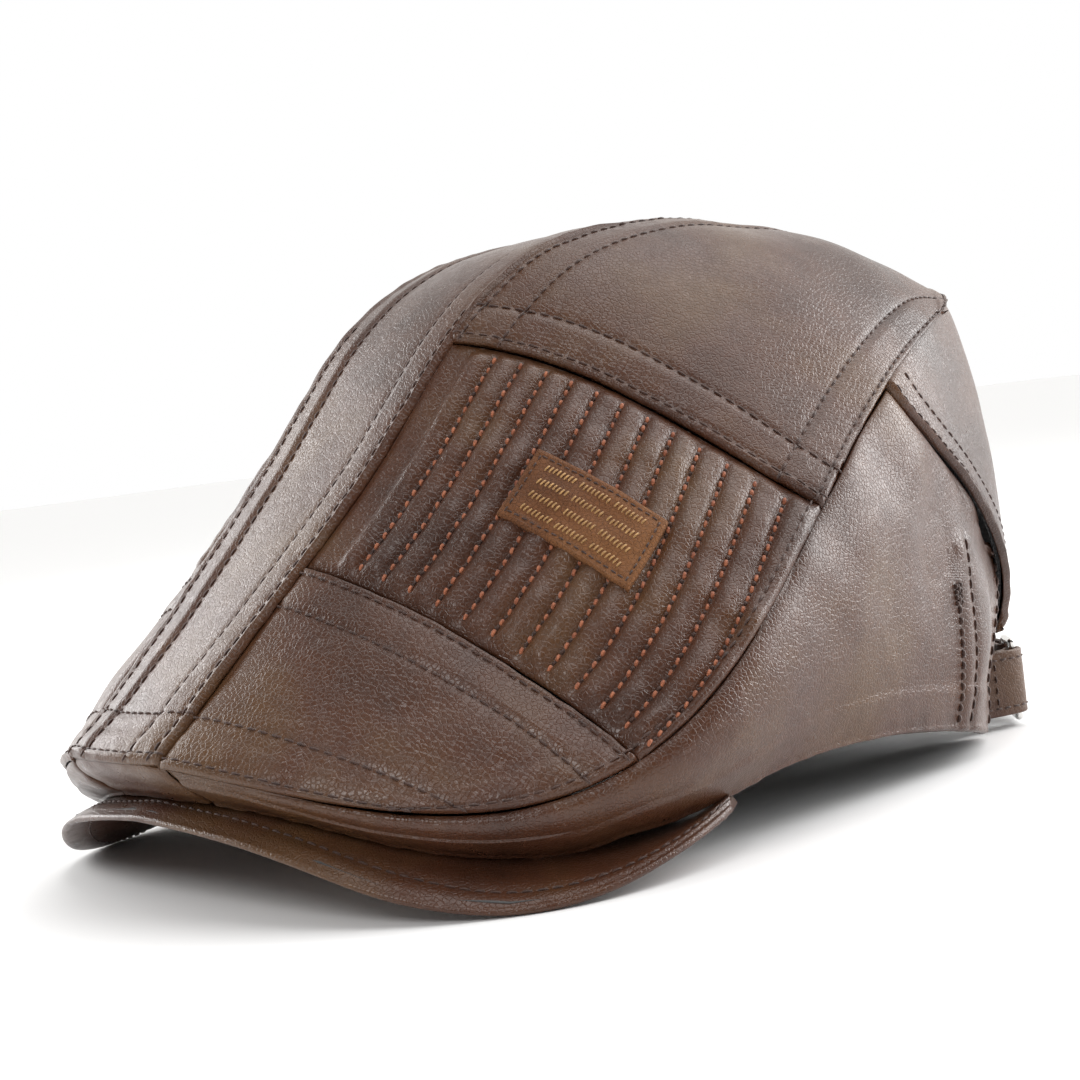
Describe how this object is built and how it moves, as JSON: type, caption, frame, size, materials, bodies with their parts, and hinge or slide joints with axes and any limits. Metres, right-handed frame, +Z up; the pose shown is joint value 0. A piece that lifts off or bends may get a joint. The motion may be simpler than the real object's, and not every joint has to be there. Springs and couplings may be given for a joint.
{
  "type": "newsboy cap",
  "caption": "Leather newsboy cap with quilted crown panels, a short arched bill and an adjustable rear strap folded back through a ring.",
  "frame": {"origin": "on the resting plane, under the middle of the whole outline", "axes": "+X is the wearer's left, -Y is the way the bill points, +Z is up"},
  "size_m": [0.2048, 0.2618, 0.1417],
  "materials": {
    "leather": "soft semi-gloss, fine grain",
    "lining_cloth": "matt black weave",
    "wadding": "white fleece",
    "sweatband": "matt black tape",
    "board": "stiff sheet",
    "patch_leather": "suede",
    "tape": "hook and loop",
    "ring_metal": "plated wire"
  },
  "bodies": {
    "cap": {"back_lining": "lining_cloth", "back_panel": "leather", "bill_board": "board", "bill_top_cover": "leather", "bill_under_cover": "leather", "crown_front_left": "leather", "crown_front_right": "leather", "crown_lining": "lining_cloth", "crown_quilted_left": "leather", "crown_quilted_right": "leather", "crown_rear_left": "leather", "crown_rear_right": "leather", "crown_strip": "leather", "front_band": "leather", "label_patch": "patch_leather", "loop_tape": "tape", "side_lining_left": "lining_cloth", "side_lining_right": "lining_cloth", "side_panel_left": "leather", "side_panel_right": "leather", "strap_run": "leather", "strap_tab": "leather", "sweatband": "sweatband", "wadding_left": "wadding", "wadding_right": "wadding"},
    "ring": {"strap_ring": "ring_metal"},
    "flap": {"strap_flap": "leather"},
    "tip": {"strap_tip": "leather", "hook_tape": "tape"}
  },
  "joints": [
    {"name": "ring_swing", "type": "hinge", "parent": "cap", "child": "ring", "pos_m": [0.04794, 0.10904, 0.0121], "axis": [0, 0, 1], "range_deg": [-0.85, 0.85]},
    {"name": "strap_peel", "type": "hinge", "parent": "cap", "child": "flap", "pos_m": [0.03616, 0.12127, 0.0121], "axis": [0, 0, -1], "range_deg": [0, 70]},
    {"name": "tip_lift", "type": "hinge", "parent": "flap", "child": "tip", "pos_m": [0.0146, 0.12977, 0.0121], "axis": [0, 0, -1], "range_deg": [0, 50]}
  ]
}
